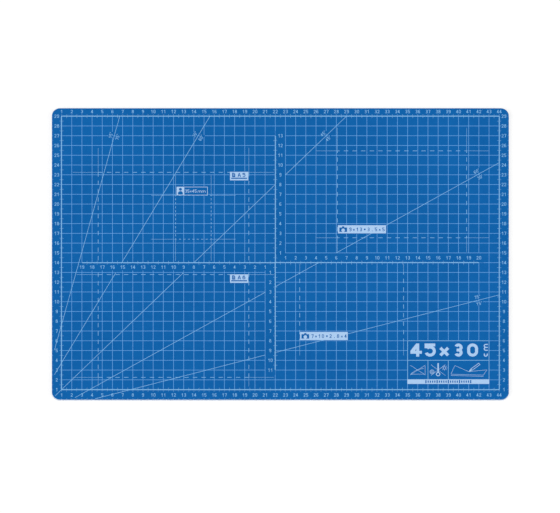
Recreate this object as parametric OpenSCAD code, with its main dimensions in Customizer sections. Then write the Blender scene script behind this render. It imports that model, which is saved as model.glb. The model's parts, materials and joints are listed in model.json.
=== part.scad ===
// Self-healing cutting mat: five bonded vinyl plies with a printed measuring grid on top.
// Millimetres, +Z up. The origin is at the middle of the underside, X runs along the long side.

/* [Mat] */
// Length of the mat, left to right
mat_w = 449; // [448:0.5:460]
// Depth of the mat, front to back
mat_d = 298.5; // [298:0.5:310]
// Radius of the four corners
corner_r = 8; // [4:0.5:8.5]

/* [Plies] */
// Thickness of each soft outer skin
skin_t = 0.5; // [0.3:0.05:1]
// Thickness of each ply between a skin and the core
cushion_t = 0.7; // [0.3:0.05:1.5]
// Thickness of the stiff core ply
core_t = 0.6; // [0.3:0.05:1.5]

/* [Ink] */
// Thickness of the ink on the top skin
ink_t = 0.05; // [0.02:0.01:0.1]
// Width of the centimetre grid lines and the angle lines
fine_w = 0.4; // [0.25:0.05:0.5]
// Width of the border and of the centre scales
bold_w = 0.7; // [0.6:0.05:1]
// Width of the dashes that outline paper and photo sizes
dash_w = 0.45; // [0.3:0.05:0.5]
// Width of the thin tails in which those outlines run on
tail_w = 0.25; // [0.15:0.05:0.4]
// Width of the ticks
tick_w = 0.25; // [0.15:0.05:0.3]
// Height of the edge and centre numerals
numeral_h = 3.4; // [2.8:0.1:3.5]
// How far the print sits behind the middle of the mat
print_shift = 1.05; // [0.6:0.05:1.1]

/* [Hidden] */
$fn = 48;
cm = 10;
mat_t = 2 * skin_t + 2 * cushion_t + core_t;

// The printed border, in centimetres on the mat's own scale
x_first = 1;
x_last = 44;
y_first = 1;
y_last = 29;
print_zero = [-cm * (x_first + x_last) / 2, -cm * (y_first + y_last) / 2 + print_shift];
half_bold = bold_w / 2 / cm;
half_fine = fine_w / 2 / cm;

// The centre scales cross at mid and each arm ends at its own grid line
mid = [22, 14];
arm_left = 3;
arm_right = 42;
arm_front = 3;
arm_back = 27;

// Distances of the numerals from the line that they belong to, in centimetres
front_gap = 0.55;
back_gap = 0.475;
left_gap = 0.475;
right_gap = 0.46;
arm_gap = 0.495;
left_arm_gap = 0.455;

// Length of the ticks, from the middle of their line
tick = 1.9;

// Ticks at the cut edge: how far they stay inside it, and how long they are
edge_inset = 0.3;
edge_tick = 0.9;

// The five angle lines: angle, a point each one passes through, and where each starts and stops in X
angle_15 = [15, [44, 10.7], 4.3, 44];
angle_30 = [30, [44, 24.24], 2.32, 44];
angle_45 = [45, [29, 29], 0.36, 29];
angle_60 = [60, [15.58, 29], 0.3, 15.58];
angle_75 = [75, [6.72, 29], 0.3, 6.72];
ANGLES = [angle_15, angle_30, angle_45, angle_60, angle_75];
label_h = 3.2;
label_gap = 3.5;
label_window = [7, 4.2];

// Sheet sizes outlined on the grid: [left, front, right, back] in centimetres
a5 = [4.6, 2.25, 19.4, 23.25];
a6_back = 12.78;
id_photo = [12.2, 16.4, 15.7, 20.9];
photo_9x13 = [28.1, 16.55, 40.8, 25.45];
photo_7x10 = [24.4, 6, 34.6, 13];
dash = 4.3;
small_dash = 2.1;

// Name plates: [left, front, right, back] in centimetres
a5_plate = [17.55, 22.43, 19.35, 23.3];
a6_plate = [17.55, 11.93, 19.35, 12.8];
id_plate = [12.3, 20.9, 15.36, 21.77];
plate_9x13 = [28.15, 17, 32.88, 17.83];
plate_7x10 = [24.43, 6.07, 29.12, 6.9];
PLATES = [a5_plate, a6_plate, id_plate, plate_9x13, plate_7x10];
plate_clear = 0.06;

// Information panel in the front right corner
panel = [35, 2, 43, 6];
panel_mid = 4;
panel_cells = [37, 39];
panel_w = 0.5;
band_front = 1.58;
band_back = 2.05;
band_marks = 21;
band_step = 2.2;
band_mark_w = 1.15;
symbol_line = 0.3;

// Strokes of the numerals, as a part of their height
stroke = 0.13;
glyph_r = 0.29;
advance = 0.76;

skin_blue = [0.08, 0.38, 0.68];
ply_white = [0.86, 0.89, 0.91];
core_grey = [0.78, 0.81, 0.84];
ink_pale = [0.84, 0.88, 0.96];
ink_thin = [0.62, 0.76, 0.92];

// ---- Plies ----

module mat_outline() {
    square([mat_w - 2 * corner_r, mat_d], center = true);
    square([mat_w, mat_d - 2 * corner_r], center = true);
    for (x = [-1, 1], y = [-1, 1])
        translate([x * (mat_w / 2 - corner_r), y * (mat_d / 2 - corner_r)]) circle(corner_r);
}

module ply(z, t, colour) {
    color(colour) translate([0, 0, z]) linear_extrude(t) mat_outline();
}

module bottom_skin() { ply(0, skin_t, skin_blue); }
module lower_ply() { ply(skin_t, cushion_t, ply_white); }
module core_ply() { ply(skin_t + cushion_t, core_t, core_grey); }
module upper_ply() { ply(skin_t + cushion_t + core_t, cushion_t, ply_white); }
module top_skin() { ply(mat_t - skin_t, skin_t, skin_blue); }

// ---- Drawing helpers: everything printed is drawn flat in the scale's own frame ----

// Lays a flat drawing on the top skin as a film of ink
module ink(colour = ink_pale) {
    color(colour) translate([print_zero.x, print_zero.y, mat_t]) linear_extrude(ink_t) children();
}

// Moves to a point given in centimetres on the printed scale
module at(x, y) { translate(cm * [x, y]) children(); }

// A straight line of width w between two points given in centimetres
module rule(p, q, w = fine_w) {
    d = q - p;
    at(p.x, p.y) rotate(atan2(d.y, d.x)) translate([0, -w / 2]) square([cm * norm(d), w]);
}

// A filled rectangle [left, front, right, back] in centimetres
module block(b, grow = 0) {
    at(b[0] - grow, b[1] - grow) square(cm * [b[2] - b[0] + 2 * grow, b[3] - b[1] + 2 * grow]);
}

// Part of a ring of outer radius r and width s, from one angle to another
module arc(r, s, from, to) {
    gap = from + 360 - to;
    difference() {
        circle(r);
        circle(r - s);
        if (gap > 0) polygon(concat([[0, 0]], [for (i = [0:3]) 2 * r * dir(to + gap * i / 3)]));
    }
}

// A stroke of width s between two points in millimetres
module bar(p, q, s) {
    d = q - p;
    translate(p) rotate(atan2(d.y, d.x)) translate([0, -s / 2]) square([norm(d), s]);
}

function dir(a) = [cos(a), sin(a)];

// Where the line through p and q reaches that x, or that y
function at_x(p, q, x) = p + (q - p) * (x - p.x) / (q.x - p.x);
function at_y(p, q, y) = p + (q - p) * (y - p.y) / (q.y - p.y);

// ---- Numerals and letters, drawn one unit high about their own middle ----

// An arc whose outer edge touches the top (side = 1) or the bottom (side = -1) of the character
module bowl(side, r, s, from, to) { translate([0, side * (0.5 - r)]) arc(r, s, from, to); }

module digit_0(r, s) {
    bowl(1, r, s, 0, 180);
    bowl(-1, r, s, 180, 360);
    for (x = [-r, r - s]) translate([x, r - 0.5]) square([s, 1 - 2 * r]);
}

module digit_1(r, s) {
    translate([r / 2 - s, -0.5]) square([s, 1]);
    tip = [-0.75 * r, 0.27];
    stem = (r - s) / 2;
    polygon([[stem, 0.5], tip, tip - [0, 1.2 * s], [stem, 0.5 - 1.3 * s]]);
}

module digit_2(r, s) {
    bowl(1, r, s, -35, 180);
    bar([0, 0.5 - r] + (r - s / 2) * dir(-35), [-r + 0.6 * s, s / 2 - 0.5], s);
    translate([-r, -0.5]) square([2 * r, s]);
}

module digit_3(r, s) {
    upper = 0.25 + s / 4;
    bowl(1, upper, s, -90, 155);
    bowl(-1, upper, s, 205, 450);
    translate([-r / 3, -s / 2]) square([r / 3 + 0.02, s]);
}

module digit_4(r, s) {
    stem = r / 3 - s / 2;
    low = -0.28;
    high = low + s;
    slant = [[stem + s, 0.5], [1.3 * s - r, low + s / 2]];
    difference() {
        polygon([
            [stem, 0.5], [-r, high], [-r, low], [stem, low], [stem, -0.5], [stem + s, -0.5],
            [stem + s, low], [1.1 * r, low], [1.1 * r, high], [stem + s, high], [stem + s, 0.5]
        ]);
        polygon([at_x(slant[0], slant[1], stem), at_y(slant[0], slant[1], high), [stem, high]]);
    }
}

module digit_5(r, s) {
    belly = r + 0.02;
    neck = belly - 0.5 + (belly - s / 2) * sin(135);
    bowl(-1, belly, s, 205, 495);
    translate([-r, 0.5 - s]) square([2 * r - 0.02, s]);
    translate([-r, neck]) square([s, 0.5 - neck]);
}

module digit_6(r, s) {
    bowl(-1, r, s, 0, 360);
    bowl(1, r, s, 25, 180);
    translate([-r, r - 0.5]) square([s, 1 - 2 * r]);
}

module digit_7(r, s) {
    foot = -r / 3;
    leg_w = 1.1 * s;
    knee = at_y([r - leg_w, 0.5 - s / 2], [foot, -0.5], 0.5 - s);
    polygon([
        [-r, 0.5], [-r, 0.5 - s], knee, [foot, -0.5], [foot + leg_w, -0.5], [r, 0.5 - s], [r, 0.5]
    ]);
}

module digit_8(r, s) {
    lower = r + 0.01;
    bowl(-1, lower, s, 0, 360);
    bowl(1, (1 + s) / 2 - lower, s, 0, 360);
}

module digit_9(r, s) { rotate(180) digit_6(r, s); }

module letter_a(r, s) {
    polygon([
        [-s / 2 - 0.02, 0.5], [s / 2 + 0.02, 0.5], [r + 0.06, -0.5], [r + 0.06 - 1.15 * s, -0.5],
        [0, 0.3], [-r - 0.06 + 1.15 * s, -0.5], [-r - 0.06, -0.5]
    ]);
    translate([-r / 2 - 0.08, -0.26]) square([r + 0.16, s]);
}

module letter_c(r, s) { translate([0, r - 0.5]) arc(r, s, 45, 315); }

module letter_m(r, s) {
    w = 1.5 * r;
    shoulder = 2 * r - 0.5 - (w + s) / 2;
    for (x = [-w, 0, w]) translate([x - s / 2, -0.5]) square([s, shoulder + 0.5]);
    for (x = [-w / 2, w / 2]) translate([x, shoulder]) arc((w + s) / 2, s, 0, 180);
}

module times_sign(r, s) {
    for (a = [45, 135]) translate([0, -0.12]) bar(-r * dir(a), r * dir(a), s);
}

// Draws one character by its code
module glyph(c, r, s) {
    if (c == "0") digit_0(r, s);
    if (c == "1") digit_1(r, s);
    if (c == "2") digit_2(r, s);
    if (c == "3") digit_3(r, s);
    if (c == "4") digit_4(r, s);
    if (c == "5") digit_5(r, s);
    if (c == "6") digit_6(r, s);
    if (c == "7") digit_7(r, s);
    if (c == "8") digit_8(r, s);
    if (c == "9") digit_9(r, s);
    if (c == "A") letter_a(r, s);
    if (c == "c") letter_c(r, s);
    if (c == "m") letter_m(r, s);
    if (c == "x") times_sign(r, s);
    if (c == "o") translate([-r / 2, 0.36]) arc(0.14, 0.09, 0, 360);
    if (c == ".") translate([-s / 2, -0.5]) square(1.2 * s);
}

// Writes a row of characters h high, centred on the origin
module label(chars, h, r = glyph_r, s = stroke, step = advance) {
    for (i = [0:len(chars) - 1])
        translate([(i - (len(chars) - 1) / 2) * step * h, 0]) scale(h) glyph(chars[i], r, s);
}

module number(n, h = numeral_h) { label(str(n), h); }

// ---- Ruled scales ----

// Outline of the ticks on one side of a ruled line; tips gives each tick's length by its number
function teeth(first, last, side, tips) = [
    for (i = [ceil(first):floor(last)])
        if (tips(i) > 0)
            each [[i - tick_w / 2, side * bold_w / 2], [i - tick_w / 2, side * tips(i)],
                  [i + tick_w / 2, side * tips(i)], [i + tick_w / 2, side * bold_w / 2]]
];

function reversed(list) = [for (i = [len(list) - 1:-1:0]) list[i]];

// Ticks outside the border: half and whole centimetres
ruler_tips = function (i) i % 5 == 0 ? tick : 0;
// Ticks on the grid: half centimetres only, because grid lines stand at the whole ones
half_tips = function (i) i % 10 == 5 ? tick : 0;

// A bold line along +X between two places in millimetres, with ticks on its left and right sides
module ruled_line(from, to, left_tips = half_tips, right_tips = half_tips) {
    first = from + tick_w / 2;
    last = to - tick_w / 2;
    left = concat([[from, bold_w / 2]], teeth(first, last, 1, left_tips), [[to, bold_w / 2]]);
    right = concat([[from, -bold_w / 2]], teeth(first, last, -1, right_tips), [[to, -bold_w / 2]]);
    polygon(concat(left, reversed(right)));
}

// The back and front sides of the border run over its corners, and the other two fit between them
module border_back_2d() {
    at(0, y_last) ruled_line(cm * x_first - bold_w / 2, cm * x_last + bold_w / 2, left_tips = ruler_tips);
}

module border_front_2d() {
    at(0, y_first) ruled_line(cm * x_first - bold_w / 2, cm * x_last + bold_w / 2, right_tips = ruler_tips);
}

module border_left_2d() {
    at(x_first, 0) rotate(90)
        ruled_line(cm * y_first + bold_w / 2, cm * y_last - bold_w / 2, left_tips = ruler_tips);
}

module border_right_2d() {
    at(x_last, 0) rotate(90)
        ruled_line(cm * y_first + bold_w / 2, cm * y_last - bold_w / 2, right_tips = ruler_tips);
}

// The arms of the centre cross: the front and back arms butt against the left and right ones
module centre_left_2d() { at(0, mid.y) ruled_line(cm * arm_left, cm * mid.x); }
module centre_right_2d() { at(0, mid.y) ruled_line(cm * mid.x, cm * arm_right); }

module centre_front_2d() {
    at(mid.x, 0) rotate(90) ruled_line(cm * arm_front, cm * mid.y - bold_w / 2);
}

module centre_back_2d() {
    at(mid.x, 0) rotate(90) ruled_line(cm * mid.y + bold_w / 2, cm * arm_back);
}

module bold_scales_2d() {
    border_back_2d();
    border_front_2d();
    border_left_2d();
    border_right_2d();
    centre_left_2d();
    centre_right_2d();
    centre_front_2d();
    centre_back_2d();
}

module border_scale_back() { ink() border_back_2d(); }
module border_scale_front() { ink() border_front_2d(); }
module border_scale_left() { ink() border_left_2d(); }
module border_scale_right() { ink() border_right_2d(); }
module centre_scale_left() { ink() centre_left_2d(); }
module centre_scale_right() { ink() centre_right_2d(); }
module centre_scale_front() { ink() centre_front_2d(); }
module centre_scale_back() { ink() centre_back_2d(); }

// Short half-centimetre ticks that run out at the cut edge on three sides
module edge_ticks() {
    side = mat_w / 2 - edge_inset;
    front = edge_inset - mat_d / 2 - print_zero.y;
    ink() {
        for (x = [x_first:0.5:x_last]) translate([cm * x - tick_w / 2, front]) square([tick_w, edge_tick]);
        for (y = [y_first:0.5:y_last], left = [-side, side - edge_tick])
            translate([left - print_zero.x, cm * y - tick_w / 2]) square([edge_tick, tick_w]);
    }
}

// ---- Numerals ----

module front_numerals_2d() { for (x = [x_first:x_last]) at(x, y_first - front_gap) number(x); }
module left_numerals_2d() { for (y = [y_first:y_last]) at(x_first - left_gap, y) number(y); }

module numerals_front() { ink() front_numerals_2d(); }
module numerals_left() { ink() left_numerals_2d(); }
module numerals_back() { ink() for (x = [x_first:x_last]) at(x, y_last + back_gap) number(x); }
module numerals_right() { ink() for (y = [y_first:y_last]) at(x_last + right_gap, y) number(y); }

module centre_numerals_left() {
    ink() for (n = [1:mid.x - arm_left]) at(mid.x - n, mid.y - left_arm_gap) number(n);
}

module centre_numerals_right() {
    ink() for (n = [1:arm_right - mid.x]) at(mid.x + n, mid.y + arm_gap) number(n);
}

module centre_numerals_front() {
    ink() for (n = [1:mid.y - arm_front]) at(mid.x - arm_gap, mid.y - n) number(n);
}

module centre_numerals_back() {
    ink() for (n = [1:arm_back - mid.y]) at(mid.x + arm_gap, mid.y + n) number(n);
}

// Clear bands that hold the centre numerals; reach widens the left one towards the front
module left_number_band(reach) { block([arm_left - 0.25, mid.y - reach, mid.x, mid.y]); }

module number_bands(reach = 0.8) {
    left_number_band(reach);
    block([mid.x, mid.y, arm_right + 0.5, mid.y + 1 - half_fine]);
    block([mid.x - 1 + half_fine, arm_front - 0.5, mid.x, mid.y]);
    block([mid.x, mid.y, mid.x + 1 - half_fine, arm_back + 0.5]);
}

// ---- Angle lines ----

function on_line(a, x) = a[1] + (x - a[1].x) * [1, tan(a[0])];

module angle_rule(a) { rule(on_line(a, a[2]), on_line(a, a[3])); }

module angle_line_2d(a) {
    difference() {
        angle_rule(a);
        number_bands(1.02);
        bold_scales_2d();
        front_numerals_2d();
        left_numerals_2d();
        for (p = PLATES) block(p);
    }
}

// Each line is labelled on both sides, two centimetres inside the border that it ends on
function label_x(a) = a[0] > 40 ? a[1].x - 2 / tan(a[0]) : a[1].x - 2;

// Places its first child below the line and its last one above it
module label_pair(a) {
    p = on_line(a, label_x(a));
    at(p.x, p.y) rotate(a[0]) {
        translate([0, -label_gap]) children(0);
        translate([0, label_gap]) children($children - 1);
    }
}

module angle_labels() {
    ink() for (a = ANGLES) label_pair(a) {
        label(str(a[0], "o"), label_h);
        label(str(90 - a[0], "o"), label_h);
    }
}

// The grid is left out behind the labels
module label_windows() { for (a = ANGLES) label_pair(a) square(label_window, center = true); }

module angle_line_15() { ink(ink_thin) angle_line_2d(angle_15); }
module angle_line_30() { ink(ink_thin) angle_line_2d(angle_30); }
module angle_line_45() { ink(ink_thin) angle_line_2d(angle_45); }
module angle_line_60() { ink(ink_thin) angle_line_2d(angle_60); }
module angle_line_75() { ink(ink_thin) angle_line_2d(angle_75); }

// ---- Outlines of paper and photo sizes ----

// A dashed line with a dash of share end (1 or 0.5) at each end and a thin tail past each of them
module dashed(p, q, d, before, after, end = 1) {
    length = cm * norm(q - p);
    first = (end - 0.5) * d;
    gaps = round((length - 2 * first) / (2 * d));
    step = (length - 2 * first) / gaps;
    u = (q - p) / norm(q - p);
    for (i = [0:gaps]) {
        middle = first + i * step;
        rule(p + u * max(middle - d / 2, 0) / cm, p + u * min(middle + d / 2, length) / cm, dash_w);
    }
    rule(p - u * before, p, tail_w);
    rule(q, q + u * after, tail_w);
}

// Dashed sides of box b; tails gives how far the lines run on to the left, front, right and back
module sheet_outline(b, tails, d = dash, end = 0.5) {
    for (x = [b[0], b[2]]) dashed([x, b[1]], [x, b[3]], d, tails[1], tails[3], end);
    for (y = [b[1], b[3]]) dashed([b[0], y], [b[2], y], d, tails[0], tails[2], end);
}

module a5_2d() {
    difference() {
        sheet_outline(a5, [2.5, 0.9, 2.45, 2.5], end = 1);
        left_number_band(1);
    }
}

module a6_2d() { dashed([a5[0], a6_back], [a5[2], a6_back], dash, 2.1, 2.45); }
module id_photo_2d() { sheet_outline(id_photo, [2.4, 2.2, 2.4, 2.1], small_dash); }
module photo_9x13_2d() { sheet_outline(photo_9x13, [2.1, 1.45, 2.2, 2.35]); }

// The 7 x 10 size lies between two grid lines, so only its sides are drawn
module photo_7x10_2d() {
    for (x = [photo_7x10[0], photo_7x10[2]])
        dashed([x, photo_7x10[1]], [x, photo_7x10[3]], dash, 1.5, 0.9, end = 0.5);
}

module outline_ink() {
    ink(ink_thin) difference() {
        children();
        for (a = ANGLES) angle_rule(a);
        bold_scales_2d();
        for (p = PLATES) block(p);
    }
}

module a5_outline() { outline_ink() a5_2d(); }
module a6_outline() { outline_ink() difference() { a6_2d(); a5_2d(); } }
module id_photo_outline() { outline_ink() id_photo_2d(); }
module photo_9x13_outline() { outline_ink() photo_9x13_2d(); }
module photo_7x10_outline() { outline_ink() photo_7x10_2d(); }

// ---- Centimetre grid ----

module grid_lines() {
    ink(ink_thin) difference() {
        union() {
            for (x = [x_first + 1:x_last - 1]) rule([x, y_first], [x, y_last]);
            for (y = [y_first + 1:y_last - 1]) rule([x_first, y], [x_last, y]);
        }
        bold_scales_2d();
        number_bands();
        label_windows();
        block([panel[0] - half_bold, band_front, panel[2] + half_bold, panel[3] + half_bold]);
        for (p = PLATES) block(p, plate_clear);
        for (a = ANGLES) angle_rule(a);
        a5_2d();
        a6_2d();
        id_photo_2d();
        photo_9x13_2d();
        photo_7x10_2d();
    }
}

// ---- Name plates ----

// A pale plate with its children left open in it; they are placed in millimetres from its left end
module plate(b) {
    ink() difference() {
        block(b);
        at(b[0], (b[1] + b[3]) / 2) children();
    }
}

// A sheet of paper with a folded corner, h high
module page_sign(h) {
    x = 0.35 * h;
    y = 0.5 * h;
    fold = 0.25 * h;
    difference() {
        polygon([[-x, -y], [x, -y], [x, y - fold], [x - fold, y], [-x, y]]);
        for (line = [-0.2, 0, 0.2]) translate([-x / 2, line * h]) square([x, 0.07 * h]);
    }
}

// A camera body with its viewfinder hump and a pale lens, h high
module camera_sign(h) {
    difference() {
        union() {
            square([1.35 * h, 0.8 * h], center = true);
            translate([-0.2 * h, 0.4 * h]) square([0.4 * h, 0.2 * h]);
        }
        translate([0, -0.1 * h]) circle(0.31 * h);
    }
}

// A page and the sheet's name over a dark rule
module sheet_plate(b, chars) {
    plate(b) {
        translate([3.6, 1.2]) page_sign(4.4);
        translate([11.4, 1.2]) label(chars, 4, r = 0.36, s = 0.19, step = 1.15);
        translate([1.2, -2.8]) square([15.6, 1.2]);
    }
}

// A camera, the size in centimetres and the size in inches
module photo_plate(b, metric, inches) {
    plate(b) {
        translate([5.2, -0.4]) camera_sign(5.6);
        translate([17.4, -0.1]) label(metric, 3.8, s = 0.16, step = 0.9);
        translate([26.4, -0.1]) circle(0.9);
        translate([37.4, -0.1]) label(inches, 3.8, s = 0.16, step = 0.97);
    }
}

module a5_name_plate() { sheet_plate(a5_plate, "A5"); }
module a6_name_plate() { sheet_plate(a6_plate, "A6"); }
module photo_9x13_plate() { photo_plate(plate_9x13, "9x13", "3.5x5"); }
module photo_7x10_plate() { photo_plate(plate_7x10, "7x10", "2.8x4"); }

// A head and shoulders in a pale field beside an outlined box with the photo's size
module id_photo_plate() {
    b = id_plate;
    size = cm * [b[2] - b[0], b[3] - b[1]];
    field = 7.6;
    rim = 0.5;
    ink() difference() {
        block(b);
        at(b[0], b[1]) {
            translate([field / 2, 6.1]) circle(1.45);
            translate([field / 2, 1.9]) shoulders(2.4, 1.2);
            difference() {
                translate([field, rim]) square([size.x - field - rim, size.y - 2 * rim]);
                translate([14, size.y / 2]) label("35x45", 3.3, step = 0.72);
                translate([24.6, size.y / 2]) label("mm", 3.3, r = 0.33, step = 1.22);
            }
        }
    }
}

// A half disc of radius r on a block of the same width, with the block's height below the origin
module shoulders(r, height) {
    difference() {
        circle(r);
        translate([-r, -2 * r]) square(2 * r);
    }
    translate([-r, -height]) square([2 * r, height]);
}

// ---- Information panel ----

module panel_frame() {
    h = panel_w / 2 / cm;
    ink() difference() {
        block([panel[0] - h, band_back, panel[2] + h, panel[3] + h]);
        block([panel[0] + h, panel_mid + h, panel[2] - h, panel[3] - h]);
        block([panel[0] + h, band_back, panel_cells[0] - h, panel_mid - h]);
        block([panel_cells[0] + h, band_back, panel_cells[1] - h, panel_mid - h]);
        block([panel_cells[1] + h, band_back, panel[2] - h, panel_mid - h]);
    }
}

// A pale band under the panel with a row of marks left open in it
module panel_band() {
    h = panel_w / 2 / cm;
    first = -band_step * (band_marks - 1) / 2;
    ink() difference() {
        block([panel[0] - h, band_front, panel[2] + h, band_back]);
        at((panel[0] + panel[2]) / 2, (band_front + band_back) / 2)
            for (i = [0:band_marks - 1])
                translate([first + i * band_step, 0])
                    square([band_mark_w, i % 5 == 0 ? 3.3 : 2.3], center = true);
    }
}

module size_mark() { ink() at(38.6, 5.05) label("45x30", 13.4, r = 0.4, s = 0.22, step = 1.04); }
module size_unit() { ink() at(42.63, 4.95) rotate(90) label("cm", 5, r = 0.4, s = 0.2, step = 1.5); }

// Two thin lines that cross out a symbol
module cross_out(length, angle) {
    for (a = [angle, 180 - angle]) bar(-length / 2 * dir(a), length / 2 * dir(a), symbol_line);
}

// A curling sheet, crossed out: store flat
module keep_flat_symbol() {
    corner = [7.2, -4.2];
    ink() at(36, 3) {
        bar([-corner.x, corner.y], corner, symbol_line);
        bar(corner, [corner.x, -corner.y], symbol_line);
        translate([6.5, -17]) arc(18.7, symbol_line, 92, 137);
        cross_out(18, 34);
    }
}

// A thermometer between a hot plate and a sun, crossed out: keep away from heat
module keep_cool_symbol() {
    sun = [6.2, 2.1];
    sun_r = 1.6;
    hot_plate = [-6, -1.8];
    ink() at(38, 3) {
        translate([0, -4.2]) arc(2.1, 0.8, 0, 360);
        translate([-0.7, -2.5]) square([1.4, 9.5]);
        translate(sun) arc(sun_r, 0.5, 0, 360);
        for (a = [0:45:315]) bar(sun + (sun_r + 0.5) * dir(a), sun + (sun_r + 1.3) * dir(a), symbol_line);
        translate(hot_plate) arc(2.2, 0.4, 0, 360);
        translate(hot_plate) arc(1.2, 0.4, 0, 360);
        cross_out(18, 38);
    }
}

// A slanting mat with a knife in it and the cut that it leaves
module knife_symbol() {
    front = [[-17.5, -4.2], [14.5, -5.2]];
    back = [[-13.5, 4.6], [18, 0.2]];
    tip = [0, -1.6];
    blade = 3;
    handle = [10, 2.4];
    ink() at(41, 3) {
        for (drop = [[0, 0], [0, 1.3]]) bar(front[0] - drop, front[1] - drop, symbol_line);
        bar(front[0], back[0], symbol_line);
        bar(front[1], back[1], symbol_line);
        bar(back[0], tip, symbol_line);
        bar(tip, back[1], symbol_line);
        translate(tip) rotate(37) {
            polygon([[0, 0], [blade, -handle.y / 2], [blade, handle.y / 2]]);
            translate([blade + 0.4, -handle.y / 2]) difference() {
                square(handle);
                translate([0.5, 0.5]) square(handle - [1, 1]);
            }
        }
    }
}

// ---- Nodes ----

top_skin();
upper_ply();
core_ply();
lower_ply();
bottom_skin();
grid_lines();
border_scale_back();
border_scale_front();
border_scale_left();
border_scale_right();
edge_ticks();
numerals_back();
numerals_front();
numerals_left();
numerals_right();
centre_scale_left();
centre_scale_right();
centre_scale_front();
centre_scale_back();
centre_numerals_left();
centre_numerals_right();
centre_numerals_front();
centre_numerals_back();
angle_line_15();
angle_line_30();
angle_line_45();
angle_line_60();
angle_line_75();
angle_labels();
a5_outline();
a6_outline();
id_photo_outline();
photo_9x13_outline();
photo_7x10_outline();
a5_name_plate();
a6_name_plate();
id_photo_plate();
photo_9x13_plate();
photo_7x10_plate();
panel_frame();
panel_band();
size_mark();
size_unit();
keep_flat_symbol();
keep_cool_symbol();
knife_symbol();
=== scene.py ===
"""Looks of a self-healing cutting mat: five vinyl plies, printed ink, a pale floor and soft light."""

import json
import math

import bmesh
import bpy
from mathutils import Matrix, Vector, noise


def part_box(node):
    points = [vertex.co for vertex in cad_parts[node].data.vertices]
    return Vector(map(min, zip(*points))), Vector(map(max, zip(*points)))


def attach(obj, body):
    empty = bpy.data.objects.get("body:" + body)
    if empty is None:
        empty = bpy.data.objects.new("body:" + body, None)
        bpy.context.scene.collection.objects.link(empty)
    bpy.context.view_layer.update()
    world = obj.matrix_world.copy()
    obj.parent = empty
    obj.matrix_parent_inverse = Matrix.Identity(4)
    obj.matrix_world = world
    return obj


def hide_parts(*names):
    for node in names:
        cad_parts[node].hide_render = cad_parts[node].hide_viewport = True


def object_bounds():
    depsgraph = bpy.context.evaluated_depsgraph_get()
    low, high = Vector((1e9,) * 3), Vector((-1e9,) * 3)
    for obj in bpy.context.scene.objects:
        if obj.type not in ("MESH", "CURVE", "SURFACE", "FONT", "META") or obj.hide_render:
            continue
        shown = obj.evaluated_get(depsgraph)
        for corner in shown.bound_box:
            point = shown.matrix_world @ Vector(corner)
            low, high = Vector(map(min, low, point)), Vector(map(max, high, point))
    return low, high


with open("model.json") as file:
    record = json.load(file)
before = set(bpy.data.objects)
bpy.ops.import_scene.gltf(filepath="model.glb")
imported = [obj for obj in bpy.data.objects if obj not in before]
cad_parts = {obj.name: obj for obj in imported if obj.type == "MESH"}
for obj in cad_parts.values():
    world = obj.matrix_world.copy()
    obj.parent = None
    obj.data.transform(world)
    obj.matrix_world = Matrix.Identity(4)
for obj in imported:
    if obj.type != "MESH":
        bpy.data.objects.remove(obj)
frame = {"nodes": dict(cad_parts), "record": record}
cad_low, cad_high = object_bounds()

MM = 0.001
ROOT = "root"

# Sizes that the design gives, in metres
CORNER_R = 8 * MM
BOLD_W = 0.7 * MM
TICK_W = 0.25 * MM
TICK_CM = 1.9 * MM

# The millimetre ticks: their length, their height as a share of the other ink's, and the step of the
# longer ticks that the CAD already holds
TICK_MM = 0.85 * MM
TICK_HEIGHT = 0.97
LONG_TICK_STEP = 5

# The cut edge: the skins' rounded rim, how far the middle plies draw back from it, and the cut's waver
# with its waves to the metre along the edge and up it
RIM_R = 0.14 * MM
RIM_STEPS = 4
PLY_INSET = 0.03 * MM
CORE_INSET = 0.07 * MM
CUT_WAVER = 0.03 * MM
WAVES_ALONG = 240
WAVES_UP = 1800

# The mesh of a ply: its steps along the edge and round a corner, the flat margin inside its rim, and the
# sharpest bend that is still shaded as smooth
EDGE_STEP = 1.5 * MM
CORNER_STEPS = 20
CAP_INSET = 1.5 * MM
SMOOTH_BEND = math.radians(40)

# Cells to the metre of the pebbled grain, which shows through the ink as well
GRAIN = 2600


# ---- Node helpers ----

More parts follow.
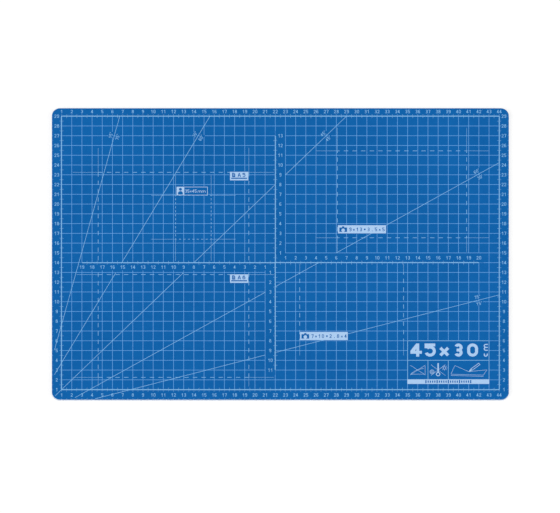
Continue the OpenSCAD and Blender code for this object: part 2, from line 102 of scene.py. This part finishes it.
class Shader:
    """A node tree under construction: makes nodes and links them by name."""

    def __init__(self, name):
        self.material = bpy.data.materials.new(name)
        self.material.use_nodes = True
        self.tree = self.material.node_tree
        self.bsdf = self.tree.nodes["Principled BSDF"]
        self.place = self.node("ShaderNodeTexCoord").outputs["Object"]

    def node(self, kind, **settings):
        made = self.tree.nodes.new(kind)
        for name, value in settings.items():
            setattr(made, name, value)
        return made

    def feed(self, socket, value):
        """Links value to socket if it is an output, or else sets it as the socket's number or colour."""
        if isinstance(value, bpy.types.NodeSocket):
            self.tree.links.new(value, socket)
        else:
            socket.default_value = value

    def stretched(self, scale):
        """Object coordinates, in metres, scaled differently along X, Y and Z."""
        mapping = self.node("ShaderNodeMapping")
        self.feed(mapping.inputs["Vector"], self.place)
        mapping.inputs["Scale"].default_value = scale
        return mapping.outputs["Vector"]

    def noise(self, scale, detail=2.0, roughness=0.5, vector=None):
        """Noise of that many cells to the metre, from 0 to 1 about 0.5."""
        made = self.node("ShaderNodeTexNoise")
        self.feed(made.inputs["Vector"], vector or self.place)
        made.inputs["Scale"].default_value = scale
        made.inputs["Detail"].default_value = detail
        made.inputs["Roughness"].default_value = roughness
        return made.outputs["Fac"]

    def cells(self, scale, vector=None):
        """Distance to the nearest of many scattered points, for a pebbled grain."""
        made = self.node("ShaderNodeTexVoronoi", feature="SMOOTH_F1")
        self.feed(made.inputs["Vector"], vector or self.place)
        made.inputs["Scale"].default_value = scale
        return made.outputs["Distance"]

    def remap(self, value, low, high, to_low, to_high):
        made = self.node("ShaderNodeMapRange")
        self.feed(made.inputs["Value"], value)
        for name, number in zip(("From Min", "From Max", "To Min", "To Max"), (low, high, to_low, to_high)):
            made.inputs[name].default_value = number
        return made.outputs["Result"]

    def math(self, operation, a, b=0.0):
        made = self.node("ShaderNodeMath", operation=operation)
        self.feed(made.inputs[0], a)
        self.feed(made.inputs[1], b)
        return made.outputs[0]

    def mix(self, factor, a, b):
        """The colour a where factor is 0 and b where it is 1."""
        made = self.node("ShaderNodeMix", data_type="RGBA")
        self.feed(made.inputs["Factor"], factor)
        self.feed(made.inputs["A"], a)
        self.feed(made.inputs["B"], b)
        return made.outputs["Result"]

    def bump(self, height, distance, strength=1.0, under=None):
        made = self.node("ShaderNodeBump")
        self.feed(made.inputs["Height"], height)
        made.inputs["Distance"].default_value = distance
        made.inputs["Strength"].default_value = strength
        if under is not None:
            self.feed(made.inputs["Normal"], under)
        return made.outputs["Normal"]

    def finish(self, colour, roughness, normal, specular):
        self.feed(self.bsdf.inputs["Base Color"], colour)
        self.feed(self.bsdf.inputs["Roughness"], roughness)
        self.feed(self.bsdf.inputs["Normal"], normal)
        self.bsdf.inputs["Specular IOR Level"].default_value = specular
        return self.material


def edge_mask(s, reach):
    """1 at the mat's cut edge, falling to 0 at that distance inside it."""
    half = (cad_high - cad_low) / 2
    split = s.node("ShaderNodeSeparateXYZ")
    s.feed(split.inputs[0], s.place)
    excess = []
    for axis, size in (("X", half.x), ("Y", half.y)):
        excess.append(s.math("SUBTRACT", s.math("ABSOLUTE", split.outputs[axis]), size - CORNER_R))
    square = [s.math("POWER", s.math("MAXIMUM", e, 0.0), 2.0) for e in excess]
    outside = s.math("SQRT", s.math("ADD", square[0], square[1]))
    inside = s.math("MINIMUM", s.math("MAXIMUM", excess[0], excess[1]), 0.0)
    distance = s.math("SUBTRACT", s.math("ADD", outside, inside), CORNER_R)
    return s.remap(distance, -reach, 0.0, 0.0, 1.0)


# ---- Materials ----

def vinyl_blue():
    """Matte blue vinyl: a fine pebbled grain, soft clouds in the pigment and rubbed edges."""
    s = Shader("vinyl_blue")
    clouds = s.noise(14, detail=3)
    mottle = s.noise(260, detail=3, roughness=0.6)
    colour = s.mix(s.remap(clouds, 0.35, 0.65, 0.0, 1.0), (0.0025, 0.118, 0.400, 1), (0.0032, 0.129, 0.430, 1))
    colour = s.mix(s.remap(mottle, 0.40, 0.68, 0.0, 0.20), colour, (0.005, 0.160, 0.485, 1))
    rubbed = s.math("MULTIPLY", edge_mask(s, 0.9 * MM), s.remap(s.noise(700, detail=3), 0.35, 0.7, 0.1, 0.6))
    colour = s.mix(rubbed, colour, (0.06, 0.26, 0.58, 1))
    roughness = s.remap(s.noise(90, detail=4), 0.3, 0.7, 0.50, 0.64)
    grain = s.bump(s.cells(GRAIN), 0.03 * MM, 0.6)
    wave = s.bump(s.noise(35, detail=1), 0.25 * MM, 0.15, under=grain)
    return s.finish(colour, roughness, wave, specular=0.08)


def cut_vinyl(name, pale, dull):
    """Vinyl seen at its cut edge: fine upright drag marks from the die."""
    s = Shader(name)
    drag = s.noise(1.0, detail=3, roughness=0.6, vector=s.stretched((1400, 1400, 40)))
    colour = s.mix(s.remap(drag, 0.35, 0.70, 0.0, 1.0), pale, dull)
    roughness = s.remap(s.noise(300, detail=3), 0.3, 0.7, 0.45, 0.62)
    return s.finish(colour, roughness, s.bump(drag, 0.04 * MM, 0.5), specular=0.35)


def ink(name, pale, thin):
    """Screen-printed ink: flat and pale, a little thinner in specks where the vinyl's grain shows through."""
    s = Shader(name)
    specks = s.remap(s.noise(900, detail=4, roughness=0.65), 0.42, 0.75, 0.0, 0.35)
    patches = s.remap(s.noise(55, detail=3), 0.35, 0.70, 0.0, 0.30)
    colour = s.mix(s.math("MAXIMUM", specks, patches), pale, thin)
    roughness = s.remap(s.noise(400, detail=3), 0.3, 0.7, 0.42, 0.58)
    return s.finish(colour, roughness, s.bump(s.cells(GRAIN), 0.02 * MM, 0.4), specular=0.25)


VINYL_BLUE = vinyl_blue()
VINYL_WHITE = cut_vinyl("vinyl_white", (0.80, 0.84, 0.88, 1), (0.66, 0.72, 0.78, 1))
VINYL_CORE = cut_vinyl("vinyl_core", (0.68, 0.72, 0.77, 1), (0.54, 0.59, 0.65, 1))
INK_SOLID = ink("ink_solid", (0.45, 0.655, 0.935, 1), (0.34, 0.55, 0.875, 1))
INK_SCALE = ink("ink_scale", (0.27, 0.57, 0.90, 1), (0.16, 0.42, 0.81, 1))
INK_FINE = ink("ink_fine", (0.17, 0.455, 0.90, 1), (0.105, 0.35, 0.77, 1))


# ---- The plies ----

def rim_points():
    """The cut outline as (point, outward direction), anticlockwise from the front left corner."""
    half = (cad_high - cad_low) / 2
    across, deep = half.x - CORNER_R, half.y - CORNER_R
    corners = [(-across, -deep, 180), (across, -deep, 270), (across, deep, 0), (-across, deep, 90)]
    points = []
    for i, (x, y, start) in enumerate(corners):
        for k in range(CORNER_STEPS + 1):
            angle = math.radians(start + 90 * k / CORNER_STEPS)
            out = Vector((math.cos(angle), math.sin(angle)))
            points.append((Vector((x, y)) + CORNER_R * out, out))
        after = corners[(i + 1) % 4]
        run = Vector(after[:2]) - Vector((x, y))
        steps = round(run.length / EDGE_STEP)
        last, out = points[-1]
        points += [(last + run * k / steps, out) for k in range(1, steps)]
    return points


RIM = rim_points()


def rounded(z, step, way):
    """One ring of a rounded rim as (height, inset): way is 1 for the top edge and -1 for the bottom one."""
    angle = math.radians(90 * step / RIM_STEPS)
    return z - way * RIM_R * (1 - math.sin(angle)), RIM_R * (1 - math.cos(angle))


def ply(node, material, drawn_back=0.0, round_top=False, round_bottom=False):
    """A ply in the place of its CAD node, with the slightly uneven edge that a die leaves."""
    low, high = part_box(node)
    rings = [(low.z, CAP_INSET)]
    if round_bottom:
        rings += [rounded(low.z, RIM_STEPS - k, -1) for k in range(RIM_STEPS + 1)]
    else:
        rings.append((low.z, 0.0))
    rings.append(((low.z + high.z) / 2, 0.0))
    if round_top:
        rings += [rounded(high.z, k, 1) for k in range(RIM_STEPS + 1)]
    else:
        rings.append((high.z, 0.0))
    rings.append((high.z, CAP_INSET))

    bm = bmesh.new()
    loops = []
    for z, inset in rings:
        loop = []
        for point, out in RIM:
            wave = noise.noise(Vector((point.x * WAVES_ALONG, point.y * WAVES_ALONG, z * WAVES_UP)))
            waver = CUT_WAVER * (0.5 + 0.5 * wave)
            back = inset if inset == CAP_INSET else inset + drawn_back + waver
            spot = point - out * back
            loop.append(bm.verts.new((spot.x, spot.y, z)))
        loops.append(loop)
    count = len(RIM)
    for below, above in zip(loops, loops[1:]):
        for i in range(count):
            j = (i + 1) % count
            bm.faces.new((below[i], below[j], above[j], above[i]))
    bm.faces.new(list(reversed(loops[0])))
    bm.faces.new(loops[-1])
    mesh = bpy.data.meshes.new(node + "_sheet")
    bm.to_mesh(mesh)
    bm.free()
    for face in mesh.polygons:
        face.use_smooth = len(face.vertices) == 4
    mesh.set_sharp_from_angle(angle=SMOOTH_BEND)
    mesh.materials.append(material)
    sheet = bpy.data.objects.new(node + "_sheet", mesh)
    bpy.context.scene.collection.objects.link(sheet)
    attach(sheet, ROOT)
    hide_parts(node)
    return sheet


ply("bottom_skin", VINYL_BLUE, round_bottom=True)
ply("lower_ply", VINYL_WHITE, drawn_back=PLY_INSET)
ply("core_ply", VINYL_CORE, drawn_back=CORE_INSET)
ply("upper_ply", VINYL_WHITE, drawn_back=PLY_INSET)
ply("top_skin", VINYL_BLUE, round_top=True)


# ---- The print: the CAD's ink keeps its shape, and the millimetre ticks join it ----

SCALE_WORDS = ("scale", "ticks", "numerals", "angle", "outline", "panel_frame")


def ink_for(node):
    """The thinnest ink for the grid, a fuller one for scales and lines, and solid ink for the rest."""
    if node == "grid_lines":
        return INK_FINE
    return INK_SCALE if any(word in node for word in SCALE_WORDS) else INK_SOLID


for subpart in frame["record"]["subparts"]:
    node, slot = subpart["node"], subpart["material_slot"]
    if slot.endswith("_ink"):
        mesh = frame["nodes"][node].data
        mesh.materials.clear()
        mesh.materials.append(ink_for(node))


def millimetre_ticks(name, start, end, side):
    """Ticks on one side of the line from start to end, at each millimetre that has no longer tick."""
    along = (end - start).normalized()
    ink_low, ink_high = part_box("border_scale_back")
    top = ink_low.z + TICK_HEIGHT * (ink_high.z - ink_low.z)
    bm = bmesh.new()
    for i in range(1, round((end - start).length / MM)):
        if i % LONG_TICK_STEP == 0:
            continue
        corners = []
        for reach, slide in ((BOLD_W / 2, -0.5), (BOLD_W / 2, 0.5), (TICK_MM, 0.5), (TICK_MM, -0.5)):
            corners.append(start + along * (i * MM + slide * TICK_W) + side * reach)
        if along.cross(side) < 0:
            corners.reverse()
        below, above = ([bm.verts.new((*c, z)) for c in corners] for z in (ink_low.z, top))
        bm.faces.new(list(reversed(below)))
        bm.faces.new(above)
        for a in range(4):
            b = (a + 1) % 4
            bm.faces.new((below[a], below[b], above[b], above[a]))
    bmesh.ops.recalc_face_normals(bm, faces=bm.faces)
    mesh = bpy.data.meshes.new(name)
    bm.to_mesh(mesh)
    bm.free()
    mesh.materials.append(INK_SCALE)
    ticks = bpy.data.objects.new(name, mesh)
    bpy.context.scene.collection.objects.link(ticks)
    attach(ticks, ROOT)


def print_ticks():
    """The millimetre ticks of the border, outside it, and those of the centre cross."""
    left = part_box("border_scale_left")[0].x + TICK_CM
    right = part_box("border_scale_right")[1].x - TICK_CM
    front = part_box("border_scale_front")[0].y + TICK_CM
    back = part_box("border_scale_back")[1].y - TICK_CM
    corner = {(x, y): Vector((x, y)) for x in (left, right) for y in (front, back)}
    to_left, to_right, to_front, to_back = (Vector(v) for v in ((-1, 0), (1, 0), (0, -1), (0, 1)))
    millimetre_ticks("border_ticks_front", corner[left, front], corner[right, front], to_front)
    millimetre_ticks("border_ticks_back", corner[left, back], corner[right, back], to_back)
    millimetre_ticks("border_ticks_left", corner[left, front], corner[left, back], to_left)
    millimetre_ticks("border_ticks_right", corner[right, front], corner[right, back], to_right)

    arm = {}
    for name in ("left", "right", "front", "back"):
        low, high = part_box("centre_scale_" + name)
        arm[name] = (low, high, (low + high) / 2)
    cross = Vector((arm["front"][2].x, arm["left"][2].y))
    millimetre_ticks("centre_ticks_left", cross, Vector((arm["left"][0].x, cross.y)), to_front)
    millimetre_ticks("centre_ticks_right", cross, Vector((arm["right"][1].x, cross.y)), to_back)
    millimetre_ticks("centre_ticks_front", cross, Vector((cross.x, arm["front"][0].y)), to_left)
    millimetre_ticks("centre_ticks_back", cross, Vector((cross.x, arm["back"][1].y)), to_right)


print_ticks()


# ---- Floor, light and camera ----

FLOOR_SIZE = 12.0
FLOOR_GAP = 0.3 * MM
FLOOR_GREY = 0.35
FLOOR_GLOW = 0.69
ROUND_LIGHT = 0.28
WHITE = (1, 1, 1, 1)


def floor():
    """A pale floor just under the mat, lit a little from within like a light table and clear from below."""
    bpy.ops.mesh.primitive_plane_add(size=FLOOR_SIZE, location=(0, 0, cad_low.z - FLOOR_GAP))
    plane = bpy.context.object
    plane.name = "floor"
    material = bpy.data.materials.new("floor")
    material.use_nodes = True
    tree = material.node_tree
    bsdf = tree.nodes["Principled BSDF"]
    bsdf.inputs["Base Color"].default_value = (FLOOR_GREY, FLOOR_GREY, FLOOR_GREY, 1)
    bsdf.inputs["Roughness"].default_value = 1.0
    bsdf.inputs["Specular IOR Level"].default_value = 0.0
    bsdf.inputs["Emission Color"].default_value = WHITE
    bsdf.inputs["Emission Strength"].default_value = FLOOR_GLOW
    clear = tree.nodes.new("ShaderNodeBsdfTransparent")
    geometry = tree.nodes.new("ShaderNodeNewGeometry")
    sides = tree.nodes.new("ShaderNodeMixShader")
    tree.links.new(geometry.outputs["Backfacing"], sides.inputs["Fac"])
    tree.links.new(bsdf.outputs["BSDF"], sides.inputs[1])
    tree.links.new(clear.outputs["BSDF"], sides.inputs[2])
    tree.links.new(sides.outputs["Shader"], tree.nodes["Material Output"].inputs["Surface"])
    plane.data.materials.append(material)
    plane.visible_shadow = False


def soft_light(name, toward, strength, spread):
    """Soft light from far away in that direction, the same all over the floor."""
    light = bpy.data.lights.new(name, "SUN")
    light.energy = strength
    light.angle = math.radians(spread)
    lamp = bpy.data.objects.new(name, light)
    lamp.location = toward
    lamp.rotation_euler = (-Vector(toward)).to_track_quat("-Z", "Y").to_euler()
    bpy.context.scene.collection.objects.link(lamp)


def surroundings():
    """A dim white all round that gives soft light, and a full white where it is seen past the floor."""
    world = bpy.data.worlds.new("studio")
    world.use_nodes = True
    tree = world.node_tree
    dim = tree.nodes["Background"]
    white = tree.nodes.new("ShaderNodeBackground")
    for background, strength in ((dim, ROUND_LIGHT), (white, 1.0)):
        background.inputs["Color"].default_value = WHITE
        background.inputs["Strength"].default_value = strength
    seen = tree.nodes.new("ShaderNodeLightPath")
    either = tree.nodes.new("ShaderNodeMixShader")
    tree.links.new(seen.outputs["Is Camera Ray"], either.inputs["Fac"])
    tree.links.new(dim.outputs["Background"], either.inputs[1])
    tree.links.new(white.outputs["Background"], either.inputs[2])
    tree.links.new(either.outputs["Shader"], tree.nodes["World Output"].inputs["Surface"])
    bpy.context.scene.world = world


def studio():
    """Soft light from the left, from the right and, for the underside, from below."""
    surroundings()
    bpy.context.scene.view_settings.view_transform = "Standard"
    soft_light("key_left", (-1.5, -0.7, 1.4), 1.9, 50)
    soft_light("fill_right", (1.6, -0.4, 1.2), 1.5, 60)
    soft_light("under_light", (0, 0, -1), 0.7, 20)


CAMERA_TILT = math.radians(16.4)
CAMERA_DISTANCE = 2.0
CAMERA_REACH = 20
VIEW_WIDTH = 0.5502
AIM_RIGHT = -0.37 * MM
AIM_UP = -2.55 * MM


def camera():
    """Looks down from the front, with the mat a little above the middle of the picture."""
    data = bpy.data.cameras.new("camera")
    data.type = "ORTHO"
    data.ortho_scale = VIEW_WIDTH
    data.clip_end = CAMERA_REACH
    shot = bpy.data.objects.new("camera", data)
    up = Vector((0, math.cos(CAMERA_TILT), math.sin(CAMERA_TILT)))
    back = Vector((0, -math.sin(CAMERA_TILT), math.cos(CAMERA_TILT)))
    top = Vector((0, 0, cad_high.z))
    shot.location = top + AIM_RIGHT * Vector((1, 0, 0)) + AIM_UP * up + CAMERA_DISTANCE * back
    shot.rotation_euler = (CAMERA_TILT, 0, 0)
    bpy.context.scene.collection.objects.link(shot)
    bpy.context.scene.camera = shot


floor()
studio()
camera()
